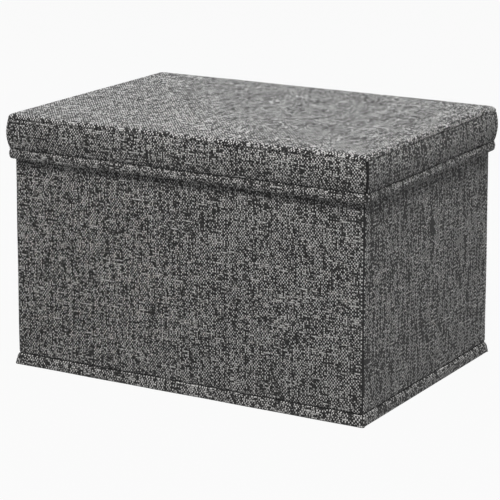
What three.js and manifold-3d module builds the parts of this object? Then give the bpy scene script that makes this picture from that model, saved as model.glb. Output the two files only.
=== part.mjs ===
// A foldable fabric storage box with a lift-off padded lid.
// Millimetres, +Z up. X runs along the long walls, -Y is the front.
// The origin is at the middle of the underside.
//
// The box folds flat. The front wall stays. Each short wall is two half panels
// that swing inward at the corners and double back at the middle crease, while
// the back wall comes up to the front wall. The two halves of the base stand up
// against the long walls, so their ends are cut at 45 degrees to clear the
// half panels on the way.

import * as THREE from "three";
import { mergeVertices } from "three/addons/utils/BufferGeometryUtils.js";
import Module from "manifold-3d";

const wasm = await Module();
wasm.setup();

// Overall sizes
const bodyWidth = 380;
const bodyDepth = 265;
const overallHeight = 252;

// Layers of a wall, from outside to inside
const clothThickness = 1;
const boardThickness = 2.5;
const liningThickness = 0.6;
const layerGap = 0.3;
const bodyCornerRadius = 2.2;
const wallRimRadius = 1.6;

// Hem round the bottom of the walls
const hemHeight = 12;
const hemFlare = 3;
const hemThickness = 2.4;
const hemStitchGroove = 0.5;

// Base
const bottomClothThickness = 0.8;
const baseBoardThickness = 2.5;
const baseSideClearance = 1.6;
const baseCreaseGap = 0.8;

// Fold
const foldClearance = 0.3;
const creaseOutset = 0.4;

// Lid
const skirtHeight = 44;
const skirtClearance = 2;
const stiffenerThickness = 1.6;
const skirtBulge = 1.7;
const lidCornerRadius = 5;
const lidEdgeRadius = 3.2;
const skirtSeamGap = 0.8;
const lidHemHeight = 9.5;
const lidHemProud = 0.3;
const lidBoardCornerRadius = 3;
const padThickness = 4;
const lidBoardThickness = 2.5;
const lidLiningThickness = 0.6;

// Overrun of a cutting solid past the face that it cuts
const overrun = 2;

// Steps of the arcs
const cornerSteps = 4;
const bulgeSteps = 6;
const edgeSteps = 3;
const hemSteps = 4;

// Derived sizes of the walls
const wallThickness = clothThickness + layerGap + boardThickness + layerGap + liningThickness;
const lidStack = clothThickness + layerGap + padThickness + layerGap + lidBoardThickness
  + layerGap + lidLiningThickness + layerGap;
const wallTop = overallHeight - lidStack;
const innerX = bodyWidth / 2 - wallThickness;
const innerY = bodyDepth / 2 - wallThickness;
const coverBottom = hemHeight;
const baseBottom = bottomClothThickness + layerGap;

// Derived sizes of the fold: the half panels turn about vertical lines on their
// inner faces, set back from the long walls by the folded base board
const foldSeat = layerGap + baseBoardThickness + foldClearance;
const cornerHingeY = innerY - foldSeat;
const creaseHingeX = bodyWidth / 2 + hemFlare + creaseOutset;

// Derived sizes of the lid
const skirtInnerX = bodyWidth / 2 + skirtClearance;
const skirtInnerY = bodyDepth / 2 + skirtClearance;
const skirtOverhang = skirtClearance + stiffenerThickness + layerGap + clothThickness;
const lidHalfX = bodyWidth / 2 + skirtOverhang;
const lidHalfY = bodyDepth / 2 + skirtOverhang;
const skirtBottom = overallHeight - skirtHeight;
const lidHemTop = skirtBottom + lidHemHeight;
const skirtTop = overallHeight - lidEdgeRadius;

// Materials, one per mesh, with the colours of the woven cloth and what is under it
const tweed = () => new THREE.MeshStandardMaterial({ color: 0x5b5a59, roughness: 0.95, metalness: 0 });
const tweedHem = () => new THREE.MeshStandardMaterial({ color: 0x5f5e5c, roughness: 0.95, metalness: 0 });
const greyboard = () => new THREE.MeshStandardMaterial({ color: 0x9b9287, roughness: 0.9, metalness: 0 });
const nonwoven = () => new THREE.MeshStandardMaterial({ color: 0x3c3c3e, roughness: 0.9, metalness: 0 });
const foam = () => new THREE.MeshStandardMaterial({ color: 0xe9e4d4, roughness: 1, metalness: 0 });

// A closed solid from a three.js geometry
function solid(geometry) {
  const plain = geometry.index ? geometry.toNonIndexed() : geometry.clone();
  plain.deleteAttribute("normal");
  plain.deleteAttribute("uv");
  const merged = mergeVertices(plain);
  const vertProperties = new Float32Array(merged.attributes.position.array);
  const triVerts = new Uint32Array(merged.index.array);
  return new wasm.Manifold(new wasm.Mesh({ numProp: 3, vertProperties, triVerts }));
}

// A named mesh from a closed solid
function piece(name, manifold, material) {
  const mesh = manifold.getMesh();
  const geometry = new THREE.BufferGeometry();
  geometry.setAttribute("position", new THREE.BufferAttribute(mesh.vertProperties, mesh.numProp));
  geometry.setIndex(new THREE.BufferAttribute(mesh.triVerts, 1));
  geometry.computeVertexNormals();
  const made = new THREE.Mesh(geometry, material);
  made.name = name;
  return made;
}

// A box between two opposite corners
function block(low, high) {
  const size = high.map((value, axis) => value - low[axis]);
  const geometry = new THREE.BoxGeometry(size[0], size[1], size[2]);
  geometry.translate(...low.map((value, axis) => value + size[axis] / 2));
  return solid(geometry);
}

// An outline in X and Y, raised from one height to another
function prism(points, bottom, top) {
  const shape = new THREE.Shape(points.map(([x, y]) => new THREE.Vector2(x, y)));
  const geometry = new THREE.ExtrudeGeometry(shape, { depth: top - bottom, bevelEnabled: false });
  geometry.translate(0, 0, bottom);
  return solid(geometry);
}

// The corners of a rectangle with rounded corners, counter-clockwise
function roundedRing(halfX, halfY, radius) {
  const points = [];
  const signs = [[1, 1], [-1, 1], [-1, -1], [1, -1]];
  signs.forEach(([sx, sy], quarter) => {
    for (let step = 0; step <= cornerSteps; step += 1) {
      const angle = (quarter + step / cornerSteps) * Math.PI / 2;
      const x = sx * (halfX - radius) + radius * Math.cos(angle);
      const y = sy * (halfY - radius) + radius * Math.sin(angle);
      points.push([x, y]);
    }
  });
  return points;
}

// A solid through rounded rectangles at rising heights
function loft(levels) {
  const positions = [];
  const index = [];
  const rings = levels.map(({ halfX, halfY, radius }) => roundedRing(halfX, halfY, radius));
  const count = rings[0].length;
  rings.forEach((ring, level) => {
    ring.forEach(([x, y]) => positions.push(x, y, levels[level].z));
  });
  for (let level = 0; level + 1 < rings.length; level += 1) {
    for (let i = 0; i < count; i += 1) {
      const next = (i + 1) % count;
      const a = level * count + i;
      const b = level * count + next;
      index.push(a, b, b + count, a, b + count, a + count);
    }
  }
  const bottomCentre = positions.length / 3;
  positions.push(0, 0, levels[0].z);
  const topCentre = bottomCentre + 1;
  positions.push(0, 0, levels[levels.length - 1].z);
  const last = (rings.length - 1) * count;
  for (let i = 0; i < count; i += 1) {
    const next = (i + 1) % count;
    index.push(bottomCentre, next, i, topCentre, last + i, last + next);
  }
  const geometry = new THREE.BufferGeometry();
  geometry.setAttribute("position", new THREE.Float32BufferAttribute(positions, 3));
  geometry.setIndex(index);
  return solid(geometry);
}

// A rounded rectangle that stands off the walls' outer faces
const around = (z, offset, radius) => ({
  z,
  halfX: bodyWidth / 2 + offset,
  halfY: bodyDepth / 2 + offset,
  radius,
});

// Levels of a loft whose offset and height follow an edge arc, from the side to the top
function edgeArc(offset, top, edgeRadius, radius) {
  const levels = [];
  for (let step = 0; step <= edgeSteps; step += 1) {
    const angle = step / edgeSteps * Math.PI / 2;
    const inset = edgeRadius * (1 - Math.cos(angle));
    const z = top - edgeRadius + edgeRadius * Math.sin(angle);
    levels.push(around(z, offset - inset, radius));
  }
  return levels;
}

const box = new THREE.Group();

// The hem's outer face: drawn in at its stitch line, and flaring out below it
const hemTop = hemHeight - layerGap;
function hemOffset(z) {
  const share = z / hemTop;
  return hemFlare * Math.cos(share * Math.PI / 2) - hemStitchGroove * share;
}

function hemLevels(inset, extra) {
  const levels = [];
  for (let step = 0; step <= hemSteps; step += 1) {
    const z = step / hemSteps * hemTop;
    levels.push(around(z, hemOffset(z) - inset, bodyCornerRadius));
  }
  levels[0].z -= extra;
  levels[hemSteps].z += extra;
  return levels;
}

const hemRing = loft(hemLevels(0, 0)).subtract(loft(hemLevels(hemThickness, overrun)));

// The walls' outer form above the hem, with a rounded rim
const wallForm = loft([
  around(hemHeight, 0, bodyCornerRadius),
  ...edgeArc(0, wallTop, wallRimRadius, bodyCornerRadius),
]);

// One wall panel: a cloth shell with its edges turned in, and its board, lining and hem.
// side says which way the wall faces, ends are its two ends along the wall, and
// reach is how far the outer form and the hem run on past the ends, round the corners.
function wallPanel(name, side, ends, reach) {
  const { across, outward } = side;
  const outer = outward * (across === 0 ? bodyWidth : bodyDepth) / 2;
  const span = (from, to, inset, bottom, top) => {
    const depths = [outer - outward * from, outer - outward * to].sort((a, b) => a - b);
    const low = [ends[0] + inset, ends[0] + inset, bottom];
    const high = [ends[1] - inset, ends[1] - inset, top];
    low[across] = depths[0];
    high[across] = depths[1];
    return block(low, high);
  };
  const beyond = -hemFlare - overrun;
  const pocketBottom = hemHeight + clothThickness;
  const pocketTop = wallTop - clothThickness;
  const bottom = pocketBottom + layerGap;
  const top = pocketTop - layerGap;
  const inset = clothThickness + layerGap;
  const boardDepth = clothThickness + layerGap;
  const liningDepth = boardDepth + boardThickness + layerGap;
  const lot = span(beyond, wallThickness, -reach, -overrun, overallHeight);
  const past = wallThickness + overrun;
  const pocket = span(clothThickness, past, clothThickness, pocketBottom, pocketTop);
  const cover = wallForm.intersect(lot).subtract(pocket);
  const board = span(boardDepth, boardDepth + boardThickness, inset, bottom, top);
  const lining = span(liningDepth, liningDepth + liningThickness, inset, bottom, top);
  const hem = hemRing.intersect(lot);
  box.add(piece(`${name}_cover`, cover, tweed()));
  box.add(piece(`${name}_board`, board, greyboard()));
  box.add(piece(`${name}_lining`, lining, nonwoven()));
  box.add(piece(`${name}_hem`, hem, tweedHem()));
}

// The long walls run the full width, and the half panels stand between them
const roundCorner = hemFlare + overrun;
const cornerY = innerY - layerGap;
const creaseY = layerGap / 2;
const longEnds = [-bodyWidth / 2, bodyWidth / 2];
const facing = {
  front: { across: 1, outward: -1 },
  back: { across: 1, outward: 1 },
  right: { across: 0, outward: 1 },
  left: { across: 0, outward: -1 },
};
wallPanel("front", facing.front, longEnds, roundCorner);
wallPanel("back", facing.back, longEnds, roundCorner);
wallPanel("right_front", facing.right, [-cornerY, -creaseY], 0);
wallPanel("right_rear", facing.right, [creaseY, cornerY], 0);
wallPanel("left_front", facing.left, [-cornerY, -creaseY], 0);
wallPanel("left_rear", facing.left, [creaseY, cornerY], 0);

// Bottom cloth, sewn in all round inside the hem
const bottomOffset = hemOffset(bottomClothThickness) - hemThickness - layerGap;
const bottomCloth = loft([
  around(0, bottomOffset, bodyCornerRadius),
  around(bottomClothThickness, bottomOffset, bodyCornerRadius),
]);
box.add(piece("bottom_cloth", bottomCloth, nonwoven()));

// Base boards: each turns up against its long wall about its long edge, so its
// ends run in at 45 degrees and stay inside the half panels at every angle
const baseEdgeY = innerY - layerGap;
const baseMiddleY = baseCreaseGap / 2;
const baseLongHalf = innerX - baseSideClearance;
const baseShortHalf = baseLongHalf - (baseEdgeY - baseMiddleY);
function baseBoard(name, sign) {
  const outline = [
    [-baseLongHalf, sign * baseEdgeY],
    [baseLongHalf, sign * baseEdgeY],
    [baseShortHalf, sign * baseMiddleY],
    [-baseShortHalf, sign * baseMiddleY],
  ];
  const board = prism(outline, baseBottom, baseBottom + baseBoardThickness);
  box.add(piece(name, board, nonwoven()));
}
baseBoard("base_board_front", -1);
baseBoard("base_board_rear", 1);

// The skirt's outer face, soft and full between the hem band and the top edge
function skirtLevels(inset, extra) {
  const levels = [];
  for (let step = 0; step <= bulgeSteps; step += 1) {
    const share = step / bulgeSteps;
    const z = lidHemTop + share * (skirtTop - lidHemTop);
    const offset = skirtOverhang + skirtBulge * Math.sin(share * Math.PI) - inset;
    levels.push(around(z, offset, lidCornerRadius - inset));
  }
  levels[0].z -= extra;
  levels[bulgeSteps].z += extra;
  return levels;
}
const skirtRing = loft(skirtLevels(0, 0)).subtract(loft(skirtLevels(clothThickness, overrun)));

// The skirts meet at the corners on seams that run out at 45 degrees.
// flip mirrors the outline, and turn swaps its axes for the short sides.
function seamRegion(turn, flip) {
  const past = skirtOverhang + skirtBulge + overrun;
  const halfLong = (turn ? lidHalfY : lidHalfX) + past - skirtSeamGap;
  const out = (turn ? lidHalfX : lidHalfY) + past;
  const inner = Math.max(halfLong - out, 0);
  const depth = halfLong - inner;
  const outline = [
    [-halfLong, -out],
    [halfLong, -out],
    [inner, depth - out],
    [-inner, depth - out],
  ];
  const points = outline
    .map(([along, away]) => (turn ? [flip * away, along] : [along, flip * away]))
    .filter((point, i, all) => i === 0 || point.some((value, k) => value !== all[i - 1][k]));
  return prism(points, skirtBottom - overrun, overallHeight + overrun);
}

// A skirt stiffener: a straight strip that ends where the corners begin to round
const stiffenerBottom = skirtBottom + clothThickness + layerGap;
const stiffenerTop = skirtTop - layerGap;
function stiffener(turn, flip) {
  const near = turn ? skirtInnerX : skirtInnerY;
  const half = (turn ? lidHalfY : lidHalfX) - lidCornerRadius;
  const away = [flip * near, flip * (near + stiffenerThickness)].sort((a, b) => a - b);
  const low = turn ? [away[0], -half] : [-half, away[0]];
  const high = turn ? [away[1], half] : [half, away[1]];
  return block([...low, stiffenerBottom], [...high, stiffenerTop]);
}

const skirts = [
  ["front", false, -1],
  ["back", false, 1],
  ["right", true, 1],
  ["left", true, -1],
];
skirts.forEach(([name, turn, flip]) => {
  const cover = skirtRing.intersect(seamRegion(turn, -flip));
  box.add(piece(`lid_skirt_${name}`, cover, tweed()));
  box.add(piece(`lid_stiffener_${name}`, stiffener(turn, flip), greyboard()));
});

// Hem band round the skirt's lower edge, turned in under the stiffeners
const bandOffset = skirtOverhang + lidHemProud;
const bandTop = lidHemTop - layerGap;
const pocketOffset = skirtOverhang - clothThickness;
const pocketRadius = lidCornerRadius - clothThickness;
const bandOuter = loft([
  around(skirtBottom, bandOffset, lidCornerRadius),
  around(bandTop, bandOffset, lidCornerRadius),
]);
const bandPocket = loft([
  around(skirtBottom + clothThickness, pocketOffset, pocketRadius),
  around(bandTop + overrun, pocketOffset, pocketRadius),
]);
const bandMouth = loft([
  around(skirtBottom - overrun, skirtClearance, bodyCornerRadius),
  around(bandTop + overrun, skirtClearance, bodyCornerRadius),
]);
const band = bandOuter.subtract(bandPocket).subtract(bandMouth);
box.add(piece("lid_hem_band", band, tweedHem()));

// Top cloth, rounded over the lid's edge
const capBottom = skirtTop + layerGap;
const capRadius = lidEdgeRadius - layerGap;
const capOuter = loft(edgeArc(skirtOverhang, overallHeight, capRadius, lidCornerRadius));
const capInnerTop = overallHeight - clothThickness;
const capInnerLevels = edgeArc(pocketOffset, capInnerTop, capRadius - clothThickness, pocketRadius);
const capInner = loft([
  around(capBottom - overrun, pocketOffset, pocketRadius),
  ...capInnerLevels,
]);
box.add(piece("lid_top_cover", capOuter.subtract(capInner), tweed()));

// Pad, board and lining of the lid, stacked down from the top cloth
const insideOffset = skirtClearance - layerGap;
function layer(name, top, thickness, material) {
  const sheet = loft([
    around(top - thickness, insideOffset, lidBoardCornerRadius),
    around(top, insideOffset, lidBoardCornerRadius),
  ]);
  box.add(piece(name, sheet, material));
  return top - thickness - layerGap;
}
const padTop = overallHeight - clothThickness - layerGap;
const lidBoardTop = layer("lid_pad", padTop, padThickness, foam());
const lidLiningTop = layer("lid_board", lidBoardTop, lidBoardThickness, greyboard());
layer("lid_lining", lidLiningTop, lidLiningThickness, nonwoven());

export default box;
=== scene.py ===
"""A foldable storage box in charcoal melange cloth, with its padded lid on.

Lengths are metres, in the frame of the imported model: X along the long walls, -Y the
front, +Z up, the origin in the middle of the underside. Every cloth piece is a
surface worked out on a grid, and carries its own weave coordinates in metres.
"""
import contextlib
import math
import bmesh
import bpy
import numpy as np
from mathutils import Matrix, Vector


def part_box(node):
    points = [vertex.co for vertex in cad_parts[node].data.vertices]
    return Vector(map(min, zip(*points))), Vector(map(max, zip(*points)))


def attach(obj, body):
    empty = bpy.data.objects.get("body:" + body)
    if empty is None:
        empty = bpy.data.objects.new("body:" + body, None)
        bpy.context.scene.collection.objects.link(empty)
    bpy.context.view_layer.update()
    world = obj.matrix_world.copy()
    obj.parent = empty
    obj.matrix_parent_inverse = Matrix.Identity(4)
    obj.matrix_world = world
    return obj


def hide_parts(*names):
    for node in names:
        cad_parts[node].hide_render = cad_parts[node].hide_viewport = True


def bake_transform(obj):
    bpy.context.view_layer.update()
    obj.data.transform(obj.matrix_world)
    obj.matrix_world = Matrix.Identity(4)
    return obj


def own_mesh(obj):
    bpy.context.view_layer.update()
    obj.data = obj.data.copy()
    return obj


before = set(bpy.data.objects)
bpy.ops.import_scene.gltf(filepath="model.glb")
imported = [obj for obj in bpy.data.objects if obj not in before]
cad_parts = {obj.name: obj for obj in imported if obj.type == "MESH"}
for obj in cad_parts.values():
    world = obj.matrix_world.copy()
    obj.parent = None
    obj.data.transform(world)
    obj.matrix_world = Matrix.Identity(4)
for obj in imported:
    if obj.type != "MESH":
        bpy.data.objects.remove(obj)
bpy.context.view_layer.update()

MM = 0.001

# The sides, whose numbers also seed their unevenness, and the direction along each wall, to
# the right as seen from outside
FRONT, BACK, RIGHT, LEFT = 1, 2, 3, 4
ALONG = {FRONT: (1, 0, 0), BACK: (-1, 0, 0), RIGHT: (0, 1, 0), LEFT: (0, -1, 0)}

# Sizes of the box, as its solids have them
BODY_WIDTH = 380 * MM
BODY_DEPTH = 265 * MM
HALF_W, HALF_D = BODY_WIDTH / 2, BODY_DEPTH / 2
OVERALL_HEIGHT = 252 * MM
WALL_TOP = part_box("front_cover")[1][2]
WALL_THICKNESS = 4.7 * MM
WALL_LEAN = 1.5 * MM  # how much further out a wall's face stands at the floor than at the rim
HEM_HEIGHT = 12 * MM
HEM_FLARE = 3 * MM
SIDE_REACH = 3.2 * MM  # how far a short wall's cloth may stand out, within its crease's axis
SIDE_START = HALF_D - 5 * MM
CORNER_HINGE_Y = HALF_D - WALL_THICKNESS - 3.1 * MM
LID_OVERHANG = 4.9 * MM
LID_CORNER = 5 * MM
SKIRT_BOTTOM = OVERALL_HEIGHT - 44 * MM
LID_BAND_TOP = SKIRT_BOTTOM + 9.5 * MM
TOP_EDGE = 4.4 * MM

# Cloth and sewing
CLOTH = 0.9 * MM  # thickness of the outer cloth
SEAM_BACK = 1.2 * MM  # how far the walls' cloth and lining stop short of a sharp corner
STITCH_PITCH = 3.4 * MM
STITCH_LENGTH = 2.7 * MM
THREAD = 0.55 * MM  # the thread is that thick

# Weave: the threads' spacing, and what moves a thread's tone away from half
WARP_PITCH = 1.42 * MM
WEFT_PITCH = 1.78 * MM
YARN_STEP = 0.4  # the warp is spun paler by this, and the weft darker
SHARED_DRIFT = 1.0  # the most that a drift shared by a few threads spans
OWN_DRIFT = 2.5  # and a thread's own drift
SLUB_DRIFT = 2.8  # and its slubs
SPECK = 1.7  # and its flecks
YARN_LIFT = 1.4  # makes up for the shade between the yarns

# Parts of a wall cloth's section, in the order in which it runs
INSIDE, RIM, FACE, FOLD, BEHIND = range(5)


# ---- camera and light

def add_object(name, data):
    """Puts a new object with that data into the scene."""
    made = bpy.data.objects.new(name, data)
    bpy.context.collection.objects.link(made)
    return made


def place_camera():
    """Camera at the photograph's viewing angle: turned 30.3 degrees to the right, raised
    14.5 degrees and 2.2 m away, with a long lens. It stands at back * distance + right *
    across + up * up_by, and looks straight along its own axis."""
    turn, rise = math.radians(30.34), math.radians(14.53)
    distance, across, up_by = 2.1966, -0.0040, 0.1077
    focal_px, image_px = 2202.1, 500
    back = np.array([math.sin(turn) * math.cos(rise), -math.cos(turn) * math.cos(rise),
                     math.sin(rise)])
    right = np.array([math.cos(turn), math.sin(turn), 0.0])
    up = np.cross(back, right)
    lens = bpy.data.cameras.new("camera")
    lens.sensor_width = 36
    lens.lens = focal_px / image_px * lens.sensor_width
    lens.clip_end = 50
    camera = add_object("camera", lens)
    camera.location = back * distance + right * across + up * up_by
    camera.rotation_euler = (math.pi / 2 - rise, 0, turn)
    bpy.context.scene.camera = camera


def linear(code):
    """An sRGB hex colour as linear RGBA."""
    parts = [int(code[i:i + 2], 16) / 255 for i in (1, 3, 5)]
    return [c / 12.92 if c <= 0.04045 else ((c + 0.055) / 1.055) ** 2.4 for c in parts] + [1.0]


def node(tree, kind, links=None, sockets=None, **settings):
    """Adds a node of that kind, with its settings, its unlinked sockets and its links."""
    made = tree.nodes.new(kind)
    for key, value in settings.items():
        setattr(made, key, value)
    for key, value in (sockets or {}).items():
        made.inputs[key].default_value = value
    for key, source in (links or {}).items():
        tree.links.new(source, made.inputs[key])
    return made


def blank_material(name):
    """A new material, and its node tree, emptied."""
    material = bpy.data.materials.new(name)
    material.use_nodes = True
    material.node_tree.nodes.clear()
    return material, material.node_tree


def seen_directly(tree):
    """1 for camera, glossy and transmission rays, which see the white surroundings, and 0
    for all others."""
    path = node(tree, "ShaderNodeLightPath").outputs
    seen = path["Is Camera Ray"]
    for ray in ("Is Glossy Ray", "Is Transmission Ray"):
        seen = node(tree, "ShaderNodeMath", {0: seen, 1: path[ray]}, operation="MAXIMUM").outputs[0]
    return seen


def light_studio():
    """White surroundings, a broad soft lamp overhead, a smaller one above the camera, and a
    weak one behind for the sides that the photograph doesn't show."""
    world = bpy.data.worlds.new("white studio")
    bpy.context.scene.world = world
    world.use_nodes = True
    tree = world.node_tree
    tree.nodes.clear()
    seen = seen_directly(tree)
    strength = node(tree, "ShaderNodeMapRange", {"Value": seen}, {"To Min": 0.1, "To Max": 1.0})
    sky = node(tree, "ShaderNodeBackground", {"Strength": strength.outputs[0]},
               {"Color": (1, 1, 1, 1)})
    node(tree, "ShaderNodeOutputWorld", {"Surface": sky.outputs[0]})

    def lamp(name, place, target, size, power, tint=(1, 1, 1)):
        """A rectangular lamp at a place, turned to its target: size in metres, power in W."""
        data = bpy.data.lights.new(name, "AREA")
        data.color = tint
        data.shape = "RECTANGLE"
        data.size, data.size_y = size
        data.energy = power
        made = add_object(name, data)
        aim = np.array(target) - np.array(place)
        made.location = place
        yaw = math.atan2(aim[1], aim[0]) - math.pi / 2
        pitch = math.atan2(math.hypot(aim[0], aim[1]), -aim[2])
        made.rotation_euler = (pitch, 0, yaw)

    lamp("overhead softbox", (-0.1, 0.2, 1.9), (0, 0, 0.2), (1.5, 1.3), 8.5, (0.97, 0.985, 1))
    lamp("fill from behind", (-1.1, 1.5, 1.1), (0, 0, 0.1), (1.0, 0.8), 6)
    lamp("key above the camera", (0.67, -1.17, 1.96), (0, 0, 0.1), (0.5, 0.4), 23.5,
         (1, 0.98, 0.95))


def lay_floor():
    """A pale floor that shows white to the camera and still takes a soft shadow: 95
    hundredths of what is seen directly is white light, and the rest is grey paper."""
    size, white_share = 6.0, 0.95
    corners = [(-size, -size, 0), (size, -size, 0), (size, size, 0), (-size, size, 0)]
    mesh = bpy.data.meshes.new("floor")
    mesh.from_pydata(corners, [], [(0, 1, 2, 3)])
    material, tree = blank_material("white floor paper")
    paper = node(tree, "ShaderNodeBsdfDiffuse", sockets={"Color": linear("#909090")})
    white = node(tree, "ShaderNodeEmission", sockets={"Color": (1, 1, 1, 1), "Strength": 1.0})
    share = node(tree, "ShaderNodeMath", {0: seen_directly(tree)}, {1: white_share},
                 operation="MULTIPLY")
    both = node(tree, "ShaderNodeMixShader",
                {0: share.outputs[0], 1: paper.outputs[0], 2: white.outputs[0]})
    node(tree, "ShaderNodeOutputMaterial", {"Surface": both.outputs[0]})
    mesh.materials.append(material)
    floor = add_object("floor", mesh)


# ---- materials

def melange_cloth(name, warp_fleck, weft_fleck, wefts_alike=1, dark=0.45, pale=0.9, upright=1.0):
    """Woven polyester in a linen look: yarns spun from black and white fibre, plain weave.

    Warp threads stand 1.42 mm apart and weft threads 1.78 mm apart, so the over-and-under
    squares repeat every 2.8 by 3.6 mm. Each thread's tone drifts along its own length,
    which gives the broken upright and level streaks, upright times as strong in the warp.
    On top of that lie flecks, as long as warp_fleck and weft_fleck say: real flecks are
    under a millimetre long, too fine to show, so they are drawn coarser, and coarser still
    on a face seen at a slant, where wefts_alike weft threads also share their flecks and
    tone. Yarn of a tone under dark is black, and over pale it is white."""
    material, tree = blank_material(name)

    def feed(made, values):
        """Gives a node its first inputs, each a number or another node's output."""
        for i, value in enumerate(values):
            if isinstance(value, (int, float)):
                made.inputs[i].default_value = value
            else:
                tree.links.new(value, made.inputs[i])
        return made.outputs[0]

    def maths(operation, *values):
        return feed(node(tree, "ShaderNodeMath", operation=operation), values)

    def noise(x, y, z, scale=1.0, detail=1.0):
        vector = feed(node(tree, "ShaderNodeCombineXYZ"), (x, y, z))
        made = node(tree, "ShaderNodeTexNoise", {"Vector": vector},
                    {"Scale": scale, "Detail": detail, "Roughness": 0.5})
        return made.outputs["Fac"]

    weave = node(tree, "ShaderNodeUVMap", uv_map="weave")
    parts = node(tree, "ShaderNodeSeparateXYZ", {0: weave.outputs[0]})
    x, y = parts.outputs[0], parts.outputs[1]
    # the threads wander sideways by up to 0.7 mm, over some 25 mm
    wander = 1.4 * MM
    drift_x = noise(x, y, 3.1, 1 / (26 * MM), 2.0)
    drift_y = noise(x, y, 7.7, 1 / (22 * MM), 2.0)
    x = maths("ADD", x, maths("MULTIPLY", maths("SUBTRACT", drift_x, 0.5), wander))
    y = maths("ADD", y, maths("MULTIPLY", maths("SUBTRACT", drift_y, 0.5), wander))
    warp, weft = maths("DIVIDE", x, WARP_PITCH), maths("DIVIDE", y, WEFT_PITCH)
    warp_no, weft_no = maths("FLOOR", warp), maths("FLOOR", weft)
    across_warp, across_weft = maths("FRACT", warp), maths("FRACT", weft)
    # the warp lies on top where the two threads' numbers add up to an odd one
    turn = maths("FRACT", maths("MULTIPLY", maths("ADD", warp_no, weft_no), 0.5))
    over = maths("GREATER_THAN", turn, 0.25)
    round_warp = maths("SINE", maths("MULTIPLY", across_warp, math.pi))
    round_weft = maths("SINE", maths("MULTIPLY", across_weft, math.pi))

    def pick(a, b):
        """a where the warp lies on top, b where the weft does."""
        made = node(tree, "ShaderNodeMix", {"Factor": over, "A": b, "B": a}, data_type="FLOAT")
        return made.outputs["Result"]

    def hump(across, along):
        """Height of a yarn: round across, and humped along between its two dips."""
        return maths("MULTIPLY", across, maths("ADD", maths("MULTIPLY", along, 0.5), 0.5))

    height = pick(hump(round_warp, round_weft), hump(round_weft, round_warp))

    def yarn(number, along, step, own_drift, seed):
        """A thread's tone: half, moved by its yarn's own step and by three drifts, which are
        shared by a few threads over 60 mm, the thread's own over 25 mm, and slubs of 8 mm."""
        drifts = ((SHARED_DRIFT, 0.47, 60 * MM, 0.0), (own_drift, 13.7, 25 * MM, 3.3),
                  (SLUB_DRIFT, 31.3, 8 * MM, 6.1))
        tone = 0.5 + step - sum(drift[0] for drift in drifts) / 2
        for weight, apart, length, shift in drifts:
            value = noise(maths("MULTIPLY", number, apart), maths("DIVIDE", along, length),
                          seed + shift)
            tone = maths("MULTIPLY_ADD", value, weight, tone)
        return tone

    weft_group = maths("FLOOR", maths("MULTIPLY", weft_no, 1 / wefts_alike))
    warp_tone = yarn(warp_no, y, YARN_STEP, OWN_DRIFT * upright, 0.0)
    weft_tone = yarn(weft_group, x, -YARN_STEP, OWN_DRIFT, 9.0)

    def fleck(across, along, sideways, length):
        """A chance value for each stretch of yarn of that length, cut off at the slant that
        the twist of its plies gives."""
        slanted = maths("MULTIPLY_ADD", sideways, 0.45, along)
        stretch = maths("FLOOR", maths("DIVIDE", slanted, length))
        spot = feed(node(tree, "ShaderNodeCombineXYZ"), (across, stretch))
        chance = node(tree, "ShaderNodeTexWhiteNoise", {"Vector": spot}, noise_dimensions="2D")
        return chance.outputs["Value"]

    flecks = pick(fleck(warp_no, y, x, warp_fleck),
                  fleck(maths("ADD", weft_group, 0.5), x, y, weft_fleck))
    speck = maths("MULTIPLY", maths("SUBTRACT", flecks, 0.5), SPECK)
    tone = maths("ADD", pick(warp_tone, weft_tone), speck)
    spread = node(tree, "ShaderNodeMapRange", {"Value": tone},
                  {"From Min": dark, "From Max": pale, "To Min": 0.0, "To Max": 1.0})
    # black fibre, the even blend of both, and white fibre
    ramp = node(tree, "ShaderNodeValToRGB", {"Fac": spread.outputs[0]})
    stops = ramp.color_ramp.elements
    stops[0].position, stops[0].color = 0.0, linear("#060606")
    stops[1].position, stops[1].color = 1.0, linear("#ffffff")
    stops.new(0.5).color = linear("#585756")
    # the gaps between the yarns lie in their own shade, and only their crowns are bright
    shade = maths("MULTIPLY", height, YARN_LIFT)
    grey = node(tree, "ShaderNodeCombineColor", {0: shade, 1: shade, 2: shade})
    factor, first, second, result = 0, 6, 7, 2  # a Mix node's sockets for colours
    colour = node(tree, "ShaderNodeMix", {first: ramp.outputs["Color"], second: grey.outputs[0]},
                  {factor: 1.0}, data_type="RGBA", blend_type="MULTIPLY")
    bump = node(tree, "ShaderNodeBump", {"Height": height},
                {"Strength": 0.7, "Distance": 0.35 * MM})
    # matt polyester yarn: no shine, and a breath of pale fuzz at a slant
    shader = node(tree, "ShaderNodeBsdfPrincipled",
                  {"Base Color": colour.outputs[result], "Normal": bump.outputs[0]},
                  {"Roughness": 0.82, "IOR": 1.5, "Sheen Weight": 0.12, "Sheen Roughness": 0.5})
    node(tree, "ShaderNodeOutputMaterial", {"Surface": shader.outputs[0]})
    return material


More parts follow.
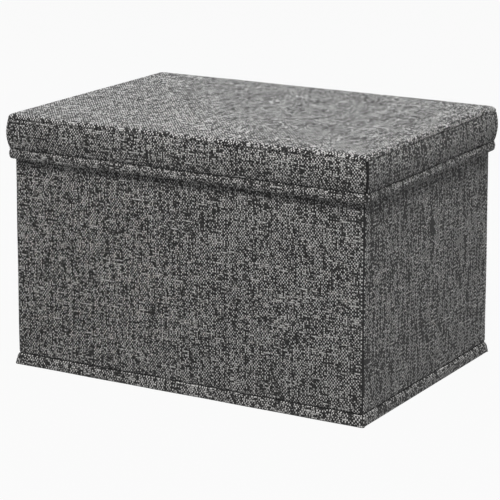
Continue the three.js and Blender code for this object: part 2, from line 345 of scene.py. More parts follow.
def plain_cloth(name, code, grain):
    """A matt material of one colour with an irregular grain of that size, which mottles it
    by up to a quarter either way and roughens it a little."""
    material, tree = blank_material(name)
    place = node(tree, "ShaderNodeTexCoord")
    mottle = node(tree, "ShaderNodeTexNoise", {"Vector": place.outputs["Object"]},
                  {"Scale": 1 / grain, "Detail": 3.0})
    base = linear(code)
    ramp = node(tree, "ShaderNodeValToRGB", {"Fac": mottle.outputs["Fac"]})
    for stop, position, share in zip(ramp.color_ramp.elements, (0.3, 0.7), (0.75, 1.25)):
        stop.position = position
        stop.color = [min(c * share, 1) for c in base[:3]] + [1]
    bump = node(tree, "ShaderNodeBump", {"Height": mottle.outputs["Fac"]},
                {"Strength": 0.4, "Distance": 0.2 * MM})
    shader = node(tree, "ShaderNodeBsdfPrincipled",
                  {"Base Color": ramp.outputs["Color"], "Normal": bump.outputs[0]},
                  {"Roughness": 0.85, "IOR": 1.5})
    node(tree, "ShaderNodeOutputMaterial", {"Surface": shader.outputs[0]})
    return material


# ---- surfaces

def chain(*parts):
    """Numbers and rows of numbers, one after the other."""
    return np.concatenate([np.atleast_1d(part) for part in parts])


def closed(grid):
    """A grid with its first column once more at its end."""
    return np.concatenate([grid, grid[:, :1]], axis=1)


def grid_mesh(name, points, weave, materials, marks=None, wrap=False, flip=False):
    """A surface through a grid of points (rows, columns, 3), with weave coordinates in
    metres (rows, columns, 2), or one column more where the columns close on themselves.
    marks gives, point by point, the number of the material that the face there takes."""
    rows, columns = points.shape[:2]
    index = np.arange(rows * columns).reshape(rows, columns)
    if wrap:
        index = closed(index)
    quads, corners = (
        np.stack([values[:-1, :-1], values[:-1, 1:], values[1:, 1:], values[1:, :-1]], axis=2)
        for values in (index, weave))
    quads, corners = quads.reshape(-1, 4), corners.reshape(-1, 4, 2)
    if flip:
        quads, corners = quads[:, ::-1], corners[:, ::-1]
    mesh = bpy.data.meshes.new(name)
    mesh.from_pydata(points.reshape(-1, 3).tolist(), [], quads.tolist())
    layer = mesh.uv_layers.new(name="weave")
    layer.data.foreach_set("uv", corners.reshape(-1).astype(np.float32))
    for material in materials:
        mesh.materials.append(material)
    if marks is not None:
        marks = marks[:-1] if wrap else marks[:-1, :-1]
        mesh.polygons.foreach_set("material_index", marks.reshape(-1).astype(np.int32))
    mesh.shade_smooth()
    mesh.update()
    return add_object(name, mesh)


def settle(made):
    """Applies a piece's modifiers to its mesh."""
    graph = bpy.context.evaluated_depsgraph_get()
    done = bpy.data.meshes.new_from_object(made.evaluated_get(graph), depsgraph=graph,
                                           preserve_all_data_layers=True)
    made.modifiers.clear()
    old = made.data
    made.data = done
    bpy.data.meshes.remove(old)
    done.name = made.name


def thicken(made, thickness):
    """Gives a sheet its thickness, on the side away from its faces."""
    wall = made.modifiers.new("cloth", "SOLIDIFY")
    wall.thickness = thickness
    wall.offset = -1
    wall.use_even_offset = True
    settle(made)


def ripple(a, b, lengths, seed):
    """Smooth unevenness between -1 and 1: the mean of one sine for each wave length, whose
    direction in (a, b) and shift are drawn by chance."""
    dice = np.random.default_rng(seed)
    total = 0
    for length in lengths:
        angle, shift = dice.uniform(0, 2 * math.pi, 2)
        forward = a * math.cos(angle) + b * math.sin(angle)
        total = total + np.sin(forward * 2 * math.pi / length + shift)
    return total / len(lengths)


# ---- walls

def hem_offset(z):
    """How far the hem stands off the wall at height z: a quarter cosine that runs out at
    the stitch line."""
    share = np.clip(z / HEM_HEIGHT, 0, 1)
    return HEM_FLARE * np.cos(share * math.pi / 2)


def lean(z):
    """How far a wall leans out at height z: evenly from nothing at the rim to WALL_LEAN at
    the floor."""
    return WALL_LEAN * np.clip(1 - z / WALL_TOP, 0, 1)


def facing(side):
    """A wall's directions along and outward, and how far from the middle its face lies."""
    along = np.array(ALONG[side], float)
    return along, np.cross(along, (0, 0, 1)), HALF_W if side in (RIGHT, LEFT) else HALF_D


def run_along(depth, height):
    """Length run along a section at each of its points."""
    return chain(0, np.cumsum(np.hypot(np.diff(depth), np.diff(height))))


def wall_profile():
    """The section of a wall's cloth, from its turned-in edge inside, over the rim, down
    the outer face, in at the stitch line, out over the hem, round its fold and up behind
    it. Returns depth into the wall, height, and which part each point belongs to."""
    inside = WALL_THICKNESS + 0.65 * MM
    rim = inside / 2
    turned_in, fold_radius, floor_gap = 16 * MM, 1.1 * MM, 0.55 * MM
    depth, height, part = [], [], []

    def add(d, z, kind):
        depth.extend(np.broadcast_to(d, np.shape(z)).tolist())
        height.extend(np.asarray(z, float).tolist())
        part.extend([kind] * len(z))

    add(inside, np.linspace(WALL_TOP - turned_in, WALL_TOP - rim - 1 * MM, 5), INSIDE)
    angle = np.linspace(0, math.pi, 13)
    add(rim + rim * np.cos(angle), WALL_TOP - rim + rim * np.sin(angle), RIM)
    # the face, with more points round the stitch line
    add(0.0, np.linspace(WALL_TOP - rim - 2 * MM, HEM_HEIGHT + 3 * MM, 44), FACE)
    add(0.0, np.linspace(HEM_HEIGHT + 2.4 * MM, HEM_HEIGHT - 2.4 * MM, 17), FACE)
    add(0.0, np.linspace(HEM_HEIGHT - 3 * MM, 1.8 * MM, 9), FACE)
    fold = np.linspace(0.15, 1, 7) * math.pi
    add(fold_radius - fold_radius * np.cos(fold),
        floor_gap + fold_radius - fold_radius * np.sin(fold), FOLD)
    add(2 * fold_radius, np.linspace(2 * MM, HEM_HEIGHT - 3 * MM, 5), BEHIND)
    return np.array(depth), np.array(height), np.array(part)


def hem_line(a, side):
    """Height of the hem's stitch line at place a along a wall: it wanders by 0.5 mm."""
    return HEM_HEIGHT + 0.5 * MM * ripple(a, 0 * a, (83 * MM, 47 * MM, 131 * MM), side + 40)


def wall_stand_off(a, z, part, side):
    """How far a wall's cloth stands out at a place along the wall and up it: the lean, the
    hem's flare, the pull of the stitches at the hem line, the cloth's slight fullness and
    the hem's slight waves."""
    out = lean(z) + np.where(part >= FACE, hem_offset(z), 0)
    pull = 1.3 * MM * np.exp(-((z - hem_line(a, side)) / (0.8 * MM)) ** 2)
    out = out - np.where(part == FACE, pull, 0)
    full = 0.35 * MM * ripple(a, z, (150 * MM, 90 * MM, 61 * MM), side)
    edge = (np.clip((z - HEM_HEIGHT) / (20 * MM), 0, 1)
            * np.clip((WALL_TOP - z) / (60 * MM), 0, 1))
    out = out + np.where(part == FACE, full * edge, 0)
    wave = 0.35 * MM * ripple(a, 0 * z, (37 * MM, 23 * MM, 55 * MM), side + 20)
    out = out + np.where(z < HEM_HEIGHT, wave * (1 - z / HEM_HEIGHT), 0)
    # a short wall's cloth stays within its crease's axis, so that its halves fold flat
    if side in (RIGHT, LEFT):
        out = np.minimum(out, SIDE_REACH)
    return np.where(part <= RIM, 0, out)


def along_wall(start, end):
    """Places along a wall 4 mm apart, and closer together towards its two ends, where the
    cloth turns into a seam."""
    step = 4 * MM
    near = np.array([0, 0.15, 0.35, 0.6, 0.9, 1.3, 1.9, 2.8]) * MM
    places = np.linspace(start, end, max(3, int(abs(end - start) / step)))
    inner = places[(places > start + step) & (places < end - step)]
    return chain(start + near, inner, (end - near)[::-1])


def wall_cloth(name, side, start, end, seams, materials):
    """A wall's outer cloth, its cut size returned with it. A point at place a and profile
    point (d, z) lies at along * a + outward * (half - d + stand-off) + up * z. Beside a
    corner seam, which seams names for the start and the end, the cloth rolls in by up to
    1.3 mm over its last 1.6 mm, as a circle of radius roll does."""
    roll, roll_width, run_out = 1.5 * MM, 1.6 * MM, 14 * MM
    along, outward, half = facing(side)
    depth, height, part = wall_profile()
    places = along_wall(start, end)
    a, d = np.meshgrid(places, depth)
    z = np.meshgrid(places, height)[1]
    kind = np.meshgrid(places, part)[1]
    out = wall_stand_off(a, z, kind, side)
    # at a corner the hem and the lean run on past the wall's end
    past = lean(z) + np.where(kind >= FACE, hem_offset(z), 0)
    grow = np.zeros_like(a)
    # faces at a sewn edge take the dark thread colour: partly the seam's thread, and partly painted
    # shade in the corner's groove
    seam_edge_thread_and_shade = np.zeros(a.shape, bool)
    for sewn, gap, sign in ((seams[0], a - start, -1), (seams[1], end - a, 1)):
        if sewn:
            grow += sign * past * np.clip(1 - gap / run_out, 0, 1)
            share = np.clip(1 - gap / roll_width, 0, 1)
            out = out - np.where(kind >= FACE, roll * (1 - np.sqrt(1 - share ** 2 * 0.98)), 0)
            seam_edge_thread_and_shade |= (z > HEM_HEIGHT) & (gap < 0.4 * MM)
    position = (a + grow)[..., None] * along + (half - d + out)[..., None] * outward
    position[..., 2] += z
    run = run_along(depth, height)
    # the wall's number moves the weave on by 3.1 m a side, so that no two sides repeat
    weave = np.stack([a + 3.1 * side, np.meshgrid(places, WALL_TOP - run)[1]], axis=-1)
    # faces along the hem's stitch line take the dark thread colour: partly thread, and partly
    # painted shade in the stitch groove
    stitch_groove_thread_and_shade = (kind == FACE) & (np.abs(z - hem_line(a, side)) < 0.35 * MM)
    made = grid_mesh(name, position, weave, materials, seam_edge_thread_and_shade | stitch_groove_thread_and_shade, flip=True)
    thicken(made, CLOTH)
    return made, (abs(end - start), float(run[-1]))


def wall_lining(name, side, start, end):
    """The lining and the wall's inner body: a slab with softened edges, whose section runs
    once round from the bottom outside. It backs the cloth and shows inside the box."""
    along, outward, half = facing(side)
    near, far = 1.1 * MM, WALL_THICKNESS + 0.12 * MM
    low, high = 1.1 * MM, WALL_TOP - 1.3 * MM
    heights = np.linspace(low, high, 24)
    depth = np.repeat([near, far], len(heights))
    height = chain(heights, heights[::-1])
    places = np.linspace(start, end, max(8, int(abs(end - start) / (8 * MM))))
    d, a = np.meshgrid(depth, places)
    z = np.meshgrid(height, places)[0]
    soft = 0.12 * MM * ripple(a, z, (70 * MM, 45 * MM), 5)
    d = d + np.where(d > near, soft * np.sin(math.pi * (z - low) / (high - low)), 0)
    position = a[..., None] * along + (half - d)[..., None] * outward
    position[..., 2] += z
    run = run_along(depth, height)
    run = np.append(run, run[-1] + far - near)
    weave = np.stack(np.meshgrid(run, places), axis=-1)
    made = grid_mesh(name, position, weave, [lining], wrap=True)
    close_ends(made, len(places), len(depth))
    return made


def corner_seam_and_shade(name, side_x, side_y, body):
    """The sewn seam down a corner, from the hem's stitch line to just under the rim: a dark
    cord in the thread's colour, set in from the sharp corner, which leans and flares with
    the walls. It is partly the seam's thread and partly painted shade in the corner's
    groove. Row i is a ring of ten points round (half + lean + flare - inset) in both
    directions."""
    radius, inset, ring = 0.65 * MM, 1.8 * MM, 10
    z = np.linspace(HEM_HEIGHT, WALL_TOP - 1.5 * MM, 36)
    turn = np.arange(ring) * 2 * math.pi / ring
    past = lean(z) + hem_offset(z) - inset
    x = (HALF_W + past)[:, None] * side_x + radius * np.cos(turn)
    y = (HALF_D + past)[:, None] * side_y + radius * np.sin(turn)
    position = np.stack([x, y, np.broadcast_to(z[:, None], x.shape)], axis=-1)
    weave = np.stack(np.meshgrid(np.arange(ring + 1) * MM, z), axis=-1)
    made = grid_mesh(name, position, weave, [thread], wrap=True)
    close_ends(made, len(z), ring)
    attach(made, body)


@contextlib.contextmanager
def editing(made):
    """A piece's mesh, open for changes and then written back."""
    work = bmesh.new()
    work.from_mesh(made.data)
    yield work
    work.to_mesh(made.data)
    work.free()


def close_ends(made, rows, columns):
    """Closes the first and the last row of a tube, and points all faces outwards."""
    with editing(made) as work:
        work.verts.ensure_lookup_table()
        for first in (0, (rows - 1) * columns):
            work.faces.new([work.verts[first + i] for i in range(columns)])
        bmesh.ops.recalc_face_normals(work, faces=work.faces)
    made.data.shade_flat()


def join(made, other):
    """Adds another piece's mesh to a piece, and removes the other."""
    with editing(made) as work:
        work.from_mesh(other.data)
    bpy.data.objects.remove(other)


def weld(made):
    """Joins points that fall together, as at the pole of nested rings, and points all
    faces outwards."""
    with editing(made) as work:
        bmesh.ops.remove_doubles(work, verts=work.verts, dist=1e-6)
        bmesh.ops.recalc_face_normals(work, faces=work.faces)


# ---- lid

# where the columns of a ring round the lid lie on its sides and in its corners
SIDE_FRACTIONS = chain(0.004, 0.012, 0.025, np.linspace(0.045, 0.955, 78), 0.975, 0.988, 0.996)
CORNER_ANGLES = np.radians(chain(np.linspace(0, 30, 7), np.linspace(33, 57, 17),
                                 np.linspace(60, 90, 7)))


def loop(half_x, half_y, radius):
    """Rounded rectangles, one per row, seen from above and run counterclockwise: a side
    with outward direction n and running direction t gives n * half + t * (2 f - 1) * (half
    - radius), and the corner after it turns from n to t. Returns the points, the outward
    directions, and each column's distance from the middle of the nearest corner."""
    half_x, half_y, radius = (np.asarray(v, float)[:, None, None] for v in
                              np.broadcast_arrays(np.atleast_1d(half_x), half_y, radius))
    points, outward, away = [], [], []
    f = SIDE_FRACTIONS[None, :, None]
    turn = CORNER_ANGLES[None, :, None]
    for quarter in range(4):
        angle = quarter * math.pi / 2 - math.pi / 2
        n = np.array([math.cos(angle), math.sin(angle)])
        t = np.array([-n[1], n[0]])
        half_n, half_t = (half_y, half_x) if quarter % 2 == 0 else (half_x, half_y)
        points.append(n * half_n + t * (2 * f - 1) * (half_t - radius))
        outward.append(np.broadcast_to(n, points[-1].shape))
        to_corner = 2 * np.minimum(f, 1 - f) * (half_t - radius) + radius * math.pi / 4
        away.append(to_corner[..., 0])
        direction = n * np.cos(turn) + t * np.sin(turn)
        points.append(n * (half_n - radius) + t * (half_t - radius) + radius * direction)
        outward.append(np.broadcast_to(direction, points[-1].shape))
        away.append((radius * np.abs(turn - math.pi / 4))[..., 0])
    return np.concatenate(points, 1), np.concatenate(outward, 1), np.concatenate(away, 1)


def lid_outline():
    """The outline of the lid's skirt at each column of a loop, closed on itself."""
    ring = loop(HALF_W + LID_OVERHANG, HALF_D + LID_OVERHANG, LID_CORNER)[0][0]
    return np.concatenate([ring, ring[:1]])


def girth():
    """Length run round that outline at each of its points; the last is once round."""
    return run_along(*lid_outline().T)


def lid_rows(name, offset, height, radius, weave_top, sewn, seed, wavy, dart=None):
    """A strip of cloth round the lid: row i lies offset[i] beyond the walls' outer faces at
    height[i], with corners of radius[i], and swings in and out by up to wavy, as a sum of
    four sines round the lid. The rows that sewn names lie in a seam and take the dark thread
    colour, which is partly the thread and partly painted shade in the seam. dart gives the
    width and depth, row by row, of the corner seam: points nearer than the width to a
    corner's middle sink by depth * (1 - distance / width) to the power 0.4, and the dart
    takes the dark thread colour, partly the thread at its bottom and partly painted shade in
    the slit. What faces right has the right side's copy of the cloth, with painted shade."""
    cloth_mark, thread_and_seam_shade_mark, shaded_side_mark = range(3)
    offset, height, radius = (np.asarray(v, float)
                              for v in np.broadcast_arrays(offset, height, radius))
    flat, outward, away = loop(HALF_W + offset, HALF_D + offset, radius)
    run = girth()
    u, z = np.meshgrid(run[:-1], height)
    turned = u * 2 * math.pi / run[-1]
    sway = np.zeros_like(u)
    for k, (waves, phase) in enumerate(((5, 1.0), (9, 2.3), (14, 0.4), (23, 5.1))):
        sway += np.sin(turned * waves + phase + seed + z / (31 * MM)) / (1 + 0.35 * k)
    sway *= wavy / 2.2
    # faces turned to the right take the cloth's copy with painted shade
    marks = np.where(outward[..., 0] > np.abs(outward[..., 1]), shaded_side_mark, cloth_mark)
    marks[sewn] = thread_and_seam_shade_mark
    if dart is not None:
        width, depth = (np.asarray(v, float)[:, None] for v in dart)
        sway = sway * np.clip(away / (20 * MM), 0, 1)
        sway -= depth * np.clip(1 - away / width, 0, 1) ** 0.4
        marks[away < 0.95 * width] = thread_and_seam_shade_mark
    flat = flat + outward * sway[..., None]
    position = np.concatenate([flat, z[..., None]], axis=-1)
    weave = np.stack(np.meshgrid(run, run_of(offset, height, weave_top)), axis=-1)
    made = grid_mesh(name, position, weave, [tweed, thread, shaded_side_tweed], marks, wrap=True,
                     flip=True)
    thicken(made, CLOTH)
    return made


def run_of(offset, height, top):
    """Height in the weave of each row: the length of cloth down from the row at top."""
    return top - run_along(offset, height)


def lid_skirt():
    """The lid's upright cloth, from the seam at its top edge to the stitch line above the
    hem. Its middle stands 1.7 mm proud, as a half sine, and each corner is a sewn dart that
    narrows downwards from 4.2 to 2 mm and is 3.4 mm deep at the top."""
    proud = 1.7 * MM
    share = np.linspace(0, 1, 30)
    top, bottom = OVERALL_HEIGHT - TOP_EDGE - 0.4 * MM, LID_BAND_TOP + 0.2 * MM
    # both seams pull the cloth in, and its edges run on into them
    offset = LID_OVERHANG + 0.25 * MM + proud * np.sin(math.pi * share)
    offset -= 0.3 * MM * np.exp(-share / 0.02) + 0.9 * MM * np.exp(-(1 - share) / 0.03)
    height = top - (top - bottom) * share
    offset = chain(LID_OVERHANG - 2.4 * MM, LID_OVERHANG - 1.0 * MM, offset,
                   LID_OVERHANG - 1.4 * MM)
    height = chain(top + 0.35 * MM, top + 0.3 * MM, height, bottom - 0.5 * MM)
    down = np.clip((top - height) / (top - bottom), 0, 1)
    width, depth = (2.1 - 1.1 * down) * MM, (3.4 - 1.2 * down) * MM
    radius = (3.4 + 2.2 * down ** 2) * MM
    made = lid_rows("lid_skirt_cloth", offset, height, radius, weave_top=0.5, sewn=[0, -2],
                    seed=1.7, wavy=0.45 * MM, dart=(width, depth))
    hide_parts("lid_skirt_front", "lid_skirt_back", "lid_skirt_right", "lid_skirt_left")
    float(girth()[-1])
    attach(made, "lid")


def lid_hem():
    """The folded band round the bottom of the lid's skirt: down the outside, round its
    fold, and up the inside, with rounded corners that the corner darts stop at."""
    outer, inner = LID_OVERHANG + 0.5 * MM, 1.8 * MM
    share = np.linspace(0, 1, 11)
    down = LID_BAND_TOP - 0.5 * MM - share * (LID_BAND_TOP - SKIRT_BOTTOM - 2.4 * MM)
    face = outer - 0.6 * MM * (1 - share) ** 2 + 0.7 * MM * np.sin(math.pi * share)
    turn = np.linspace(0.1, 0.9, 7) * math.pi
    middle, half = (outer + inner) / 2, (outer - inner) / 2
    offset = chain(outer - 2.0 * MM, outer - 1.3 * MM, face, middle + half * np.cos(turn),
                   np.full(5, inner))
    height = chain(LID_BAND_TOP + 0.1 * MM, LID_BAND_TOP, down,
                   SKIRT_BOTTOM + 1.75 * MM - 1.7 * MM * np.sin(turn),
                   np.linspace(SKIRT_BOTTOM + 2.2 * MM, LID_BAND_TOP - 1.5 * MM, 5))
    radius = 5.8 * MM + (offset - LID_OVERHANG) * 0.7
    made = lid_rows("lid_hem_cloth", offset, height, radius, weave_top=0.7, sewn=[0],
                    seed=4.0, wavy=0.3 * MM)
    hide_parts("lid_hem_band")
    float(girth()[-1])
    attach(made, "lid")


def lid_top():
    """The padded top: nested rounded rings from its middle out, over an edge of 4.4 mm
    radius, in at the seam, and back under the pad. It is crowned by under a millimetre, as
    (1 - x^4) (1 - y^4) with x and y as shares of its reach, and has shallow dents."""
    edge, outer, under = TOP_EDGE, LID_OVERHANG + 0.35 * MM, 5 * MM
    reach_x, reach_y = HALF_W + outer, HALF_D + outer
    share = chain(0, 0.004, np.linspace(0.03, 0.97, 34), 0.985, 0.995, 1)
    # from the edge's start on: how far out, how far down, and how much cloth further
    over = np.linspace(0, 1, 9)[1:] * math.pi / 2
    spread = chain(np.sin(over) * edge, edge - np.array([0.4, 1.6, 3.2, 4.0]) * MM)
    drop = chain(edge - np.cos(over) * edge, edge + np.array([0.3, 0.4, 0.6, 0.75]) * MM)
    length = chain(over * edge, edge * math.pi / 2 + np.array([0.6, 1.8, 3.6, 4.6]) * MM)

    def rings(reach, beyond):
        """Half sizes of the rings along one axis: out to the edge, beyond it, and back."""
        return chain(share * (reach - edge), reach - edge + beyond, share[::-1] * (reach - under))

    half_x, half_y = rings(reach_x, spread), rings(reach_y, spread)
    height = OVERALL_HEIGHT + chain(0 * share, -drop, 0 * share - 5.2 * MM)
    radius = np.minimum(4.2 * MM, np.minimum(half_x, half_y) * 0.5)
    flat = loop(half_x, half_y, radius)[0]
    x, y = flat[..., 0], flat[..., 1]
    z = np.broadcast_to(height[:, None], x.shape)
    on_top = (np.arange(len(height)) < len(share) + len(over))[:, None]
    crown = np.clip((1 - np.abs(x / reach_x) ** 4) * (1 - np.abs(y / reach_y) ** 4), 0, 1)
    dents = ripple(x, y, (210 * MM, 120 * MM, 75 * MM, 160 * MM), 8) * crown ** 0.5
    z = z + on_top * (0.7 * MM * (crown - 0.6) + 0.45 * MM * dents)
    position = np.stack([x, y, z], axis=-1)
    cut = loop(rings(reach_x, length), rings(reach_y, length), radius)[0]
    weave = closed(cut) + 1.3  # its own piece of the weave
    made = grid_mesh("lid_top_cloth", position, weave, [top_tweed], wrap=True)
    weld(made)
    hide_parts("lid_top_cover", "lid_pad")
    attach(made, "lid")


def lid_inner_cloth():
    """The lid's lining: up inside the skirt, round a small corner and in rings to the
    middle of its ceiling."""
    inner, curve, curve_start = 2.0 * MM, 1.9 * MM, 241.6 * MM
    up = np.linspace(SKIRT_BOTTOM + 5 * MM, curve_start, 12)
    turn = np.linspace(0, 1, 5)[1:] * math.pi / 2
    share = chain(np.linspace(1, 0.02, 24), 0)[1:]
    offset = chain(0 * up + inner, inner - curve + curve * np.cos(turn))
    height = chain(up, curve_start + curve * np.sin(turn), 0 * share + curve_start + curve)
    half_x, half_y = (chain(half + offset, share * (half + offset[-1]))
                      for half in (HALF_W, HALF_D))
    radius = np.minimum(1.2 * MM, half_y * 0.4)
    flat = loop(half_x, half_y, radius)[0]
    z = np.broadcast_to(height[:, None], flat.shape[:2])
    position = np.concatenate([flat, z[..., None]], axis=-1)
    made = grid_mesh("lid_lining_cloth", position, closed(flat), [lining], wrap=True)
    weld(made)
    thicken(made, 0.5 * MM)
    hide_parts("lid_lining")
    (BODY_WIDTH + 4 * MM) * (BODY_DEPTH + 4 * MM) + float(girth()[-1]) * 30 * MM
    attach(made, "lid")


# ---- base

def rounded(polygon, radius, inset):
    """A convex outline, counterclockwise, moved in by inset and rounded: each corner of
    the outline moved in by radius, plus (radius - inset) times the directions between the
    normals of its two edges."""
    edges = np.roll(polygon, -1, axis=0) - polygon
    normals = np.stack([edges[:, 1], -edges[:, 0]], axis=1) / np.hypot(*edges.T)[:, None]
    before = np.roll(normals, 1, axis=0)
    diagonal = (before + normals) / (1 + (before * normals).sum(1))[:, None]
    core = polygon - radius * diagonal
    blend = np.linspace(0, 1, 5)[None, :, None]
    direction = before[:, None] * (1 - blend) + normals[:, None] * blend
    direction /= np.linalg.norm(direction, axis=2, keepdims=True)
    return (core[:, None] + (radius - inset) * direction).reshape(-1, 2)


def base_panel(name, polygon):
    """A board wrapped in lining, from height low to high: its outline, with corners of 8 mm,
    softened along both edges by a quarter circle of radius soft."""
    low, high, soft, flat_inset = 1.2 * MM, 3.6 * MM, 0.8 * MM, 6 * MM
    turn = np.linspace(0, math.pi / 2, 5)
    edge_in, edge_up = soft - soft * np.sin(turn), soft - soft * np.cos(turn)
    inset = chain(flat_inset, edge_in, edge_in[::-1], flat_inset)
    height = chain(low, low + edge_up, high - edge_up[::-1], high)
    rings = np.stack([rounded(polygon, 8 * MM, value) for value in inset])
    z = np.broadcast_to(height[:, None, None], rings.shape[:2] + (1,))
    position = np.concatenate([rings, z], axis=-1)
    made = grid_mesh(f"{name}_cloth", position, closed(rings), [lining], wrap=True)
    close_ends(made, len(inset), rings.shape[1])
    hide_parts(f"base_board_{name.split('_')[1]}")
    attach(made, name)


def under_cloth():
    """The cloth under the box, laid inside the hems: a flat grid that ripples by a tenth
    of a millimetre between its edges."""
    reach_x, reach_y = HALF_W - 3.2 * MM, HALF_D - 3.2 * MM
    x, y = np.meshgrid(np.linspace(-reach_x, reach_x, 60), np.linspace(-reach_y, reach_y, 45))
    edge = (1 - (x / reach_x) ** 8) * (1 - (y / reach_y) ** 8)
    z = 0.4 * MM + 0.05 * MM * ripple(x, y, (90 * MM, 60 * MM, 40 * MM), 15) * edge
    made = grid_mesh("bottom_cloth_sheet", np.stack([x, y, z], axis=-1),
                     np.stack([x, y], axis=-1), [lining])
    thicken(made, 0.35 * MM)
    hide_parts("bottom_cloth")
    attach(made, "front_wall")
    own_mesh(made)


# ---- creases and stitches

def crease_strip(name, sign):
    """The cloth hidden behind a side's middle crease, which bridges it when the box is
    folded: an upright strip 26 mm wide, 1 mm behind the outer cloth."""
    y, z = np.meshgrid(np.linspace(-13, 13, 27) * MM, np.linspace(1.4 * MM, WALL_TOP - 2 * MM, 40))
    x = sign * (HALF_W - 1.0 * MM + lean(z))
    made = grid_mesh(name, np.stack([x, y, z], axis=-1), np.stack([y, z], axis=-1), [lining],
                     flip=sign < 0)
    thicken(made, 0.4 * MM)
    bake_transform(made)


def corner_roll(strip):
    """The cloth that turns the left rear corner behind the side's own, and shows where the
    side has folded away from it: a quarter of a cylinder round the corner's axis, 4.4 mm
    from it, which runs on from the corner's strip and is one piece with it."""
    radius = 4.4 * MM
    turn, z = np.meshgrid(np.radians(np.linspace(176, 262, 12)),
                          np.linspace(1.4 * MM, WALL_TOP - 2 * MM, 40))
    x = -(HALF_W - WALL_THICKNESS) + radius * np.cos(turn)
    y = CORNER_HINGE_Y + radius * np.sin(turn)
    weave = np.stack([radius * turn, z], axis=-1)
    made = grid_mesh("left_rear_corner_roll", np.stack([x, y, z], axis=-1), weave, [tweed])
    thicken(made, 0.4 * MM)
    join(strip, made)


def stitches(name, places, forward, outward):
    """Short upholstery stitches: each a capsule of thread of six sides along its own forward
    direction. It stands proudest in its middle, by 0.55 of its radius, and sinks towards
    both ends as the square of the distance from the middle."""
    radius, sides = THREAD / 2, 6
    along = np.array([-0.5, -0.46, -0.3, 0, 0.3, 0.46, 0.5])
    girth_angle = np.arange(sides) * 2 * math.pi / sides
    thick = radius * np.array([0.05, 0.6, 0.95, 1, 0.95, 0.6, 0.05])
    lift = (0.25 - along ** 2) * 2.2 * radius
    centre = (places[:, None, :] + forward[:, None, :] * (along * STITCH_LENGTH)[None, :, None]
              + outward[:, None, :] * lift[None, :, None])
    side = np.cross(outward, forward)
    ring = (side[:, None, None, :] * np.outer(thick, np.cos(girth_angle))[None, ..., None]
            + outward[:, None, None, :] * np.outer(thick, np.sin(girth_angle))[None, ..., None])
    points = (centre[:, :, None, :] + ring).reshape(-1, 3)
    rows = len(along)
    index = np.arange(rows * sides).reshape(rows, sides)
    ends = np.stack([index[0], index[-1][::-1]])
    index = closed(index)
    quads = np.stack([index[:-1, :-1], index[1:, :-1], index[1:, 1:], index[:-1, 1:]], axis=-1)
    starts = (np.arange(len(places)) * rows * sides)[:, None, None]
    faces = ((quads.reshape(-1, 4)[None] + starts).reshape(-1, 4).tolist()
             + (ends[None] + starts).reshape(-1, sides).tolist())
    mesh = bpy.data.meshes.new(name)
    mesh.from_pydata(points.tolist(), [], faces)
    mesh.materials.append(thread)
    mesh.shade_smooth()
    made = add_object(name, mesh)
    return made


def hem_stitches(name, side, start, end):
    """The wall's hem stitches: one every 3.4 mm along the hem line, in its groove."""
    along, outward, half = facing(side)
    a = np.arange(start + 3 * MM, end - 2 * MM, STITCH_PITCH)
    z = hem_line(a, side)
    out = wall_stand_off(a, z, np.full(a.shape, FACE), side) + 0.05 * MM
    places = a[:, None] * along + (half + out)[:, None] * outward
    places[:, 2] += z
    return stitches(f"{name}_hem_stitches", places, np.broadcast_to(along, places.shape),
                    np.broadcast_to(outward, places.shape))


def lid_stitches():
    """The row of stitches above the lid's hem, all round it."""
    run, outline = girth(), lid_outline().T
    at = np.arange(0, run[-1] - STITCH_PITCH * 0.6, STITCH_PITCH)
    here, ahead = (np.stack([np.interp(at + shift, run, line) for line in outline] + [0 * at],
                            axis=1) for shift in (0, 0.2 * MM))
    forward = ahead - here
    forward /= np.linalg.norm(forward, axis=1, keepdims=True)
    outward = np.cross(forward, (0, 0, 1))
    places = here + (0, 0, LID_BAND_TOP + 0.25 * MM) - outward * 0.1 * MM
    made = stitches("lid_hem_stitches", places, forward, outward)
    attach(made, "lid")


# ---- a whole wall panel

def dress_wall(name, body, side, start, end, seams, lining_ends, bend=None):
    """One wall panel: its outer cloth with the hem, the hem's stitches, and its lining. With
    bend given, the cloth and its stitches keep their place in their points and ride with no
    body; the bodies and places that bend lists are not used. Without it they ride with the
    panel's body."""
    # the right side takes the cloth's copy with painted shade in its tones and contrast
    woven = shaded_side_tweed if side == RIGHT else tweed
    cloth, flat = wall_cloth(f"{name}_cloth", side, start, end, seams, [woven, thread])
    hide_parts(f"{name}_cover", f"{name}_hem")
    sewn = hem_stitches(name, side, start, end)
    for piece in (cloth, sewn):
        if bend:
            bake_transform(piece)
        else:
            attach(piece, body)
    inner = wall_lining(f"{name}_lining_cloth", side, *lining_ends)
    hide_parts(f"{name}_lining")
    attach(inner, body)


# ---- the scene

place_camera()
light_studio()
lay_floor()

# The outer cloth is woven from matt polyester yarn spun of black and white fibre. To the
# eye it is a charcoal grain with pale flecks and broken upright streaks, and has no shine.
tweed = melange_cloth("woven melange polyester", 0.9 * MM, 0.75 * MM)
# The same cloth on the right side, seen at a slant, with coarser flecks. Its harder contrast,
# darker middle tones and stronger upright streaks are painted shade, for the light that
# falls across that side.
shaded_side_tweed = melange_cloth("woven melange polyester, right side, painted shade", 3.0 * MM, 1.8 * MM,
                           dark=0.62, pale=0.82, upright=2.6)
# The same cloth seen almost level: its grain runs together into a soft pale grey.
top_tweed = melange_cloth("woven melange polyester, lid top", 2.8 * MM, 1.3 * MM, wefts_alike=2)
# The lining and base cloths are pressed nonwoven: plain dark grey, with faint mottling.
lining = plain_cloth("pressed nonwoven", "#3a3a3c", 1.2 * MM)
# The boards are greyboard, pressed from waste paper: dull, warm grey and cloudy.
board = plain_cloth("greyboard", "#9b9287", 2 * MM)
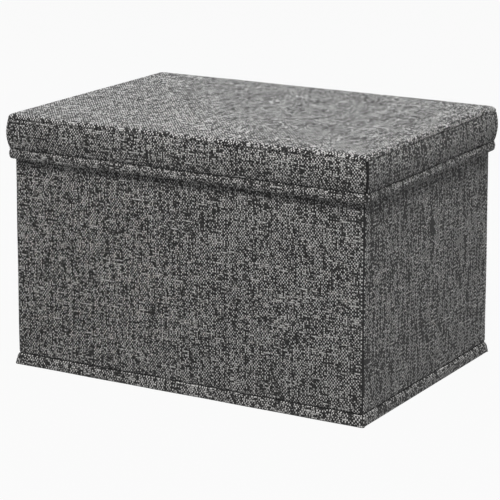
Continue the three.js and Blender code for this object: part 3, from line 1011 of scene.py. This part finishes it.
# The seams and stitches are matt polyester thread: to the eye a fine dark broken line.
# Its dark colour also stands partly for painted shade: on the corner cords, at the walls' sewn
# corner edges and stitch grooves, and in the lid's seam rows and corner darts.
thread = plain_cloth("polyester sewing thread", "#2b2b2c", 0.5 * MM)

seam_x, seam_y = HALF_W - SEAM_BACK, HALF_D - SEAM_BACK
lining_gap = 0.2 * MM  # from a side's middle crease to each half's lining
for name, side in (("front", FRONT), ("back", BACK)):
    dress_wall(name, f"{name}_wall", side, -seam_x, seam_x, (True, True), (-seam_x, seam_x))
# where a short wall's cloth would bend at its corner hinge: over 4.8 mm, the length of a
# quarter turn; these places only fill the bend arguments, which dress_wall does not read
bend_start, panel_start = CORNER_HINGE_Y + 3.6 * MM, SIDE_START - 4 * MM
dress_wall("right_front", "right_front_panel", RIGHT, -seam_y, 0, (True, False),
           (-SIDE_START, -lining_gap),
           ("front_wall", "right_front_panel", (HALF_W, -bend_start, 0), (HALF_W, -panel_start, 0)))
dress_wall("right_rear", "right_rear_panel", RIGHT, 0, seam_y, (False, True),
           (lining_gap, SIDE_START),
           ("right_rear_panel", "back_wall", (HALF_W, panel_start, 0), (HALF_W, bend_start, 0)))
dress_wall("left_front", "left_front_panel", LEFT, 0, seam_y, (False, True),
           (lining_gap, SIDE_START),
           ("front_wall", "left_front_panel", (-HALF_W, -bend_start, 0),
            (-HALF_W, -panel_start, 0)))
# at the left rear the cloth is cut at the open pivot, and the back wall carries the corner
dress_wall("left_rear", "left_rear_panel", LEFT, 0.1 * MM - CORNER_HINGE_Y, 0, (False, False),
           (-SIDE_START, -lining_gap))
corner, cut = wall_cloth("left_rear_corner_cloth", LEFT, -seam_y, -CORNER_HINGE_Y,
                         (True, False), [tweed, thread])
corner_roll(corner)
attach(corner, "back_wall")
for sign, where in ((1, "right"), (-1, "left")):
    corner_seam_and_shade(f"front_{where}_corner_seam_and_shade", sign, -1, "front_wall")
    corner_seam_and_shade(f"back_{where}_corner_seam_and_shade", sign, 1, "back_wall")
for sign, where in ((1, "right"), (-1, "left")):
    crease_strip(f"{where}_crease_strip", sign)

# the base's two boards, cut at 45 degrees so that they clear the short walls as they fold
wide, narrow, reach, gap = 183.7 * MM, 56.6 * MM, 127.5 * MM, 0.4 * MM
base_outline = np.array([(wide, reach), (-wide, reach), (-narrow, gap), (narrow, gap)])
base_panel("base_front", -base_outline)
base_panel("base_rear", base_outline)
under_cloth()

lid_top()
lid_skirt()
lid_hem()
lid_stitches()
lid_inner_cloth()

for name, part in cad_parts.items():
    if part.hide_render:
        continue
    finish = board if "board" in name or "stiffener" in name else tweed
    for place in range(len(part.material_slots)):
        part.material_slots[place].material = finish
    if not part.material_slots:
        part.data.materials.append(finish)

scene = bpy.context.scene
scene.view_settings.view_transform = "Standard"
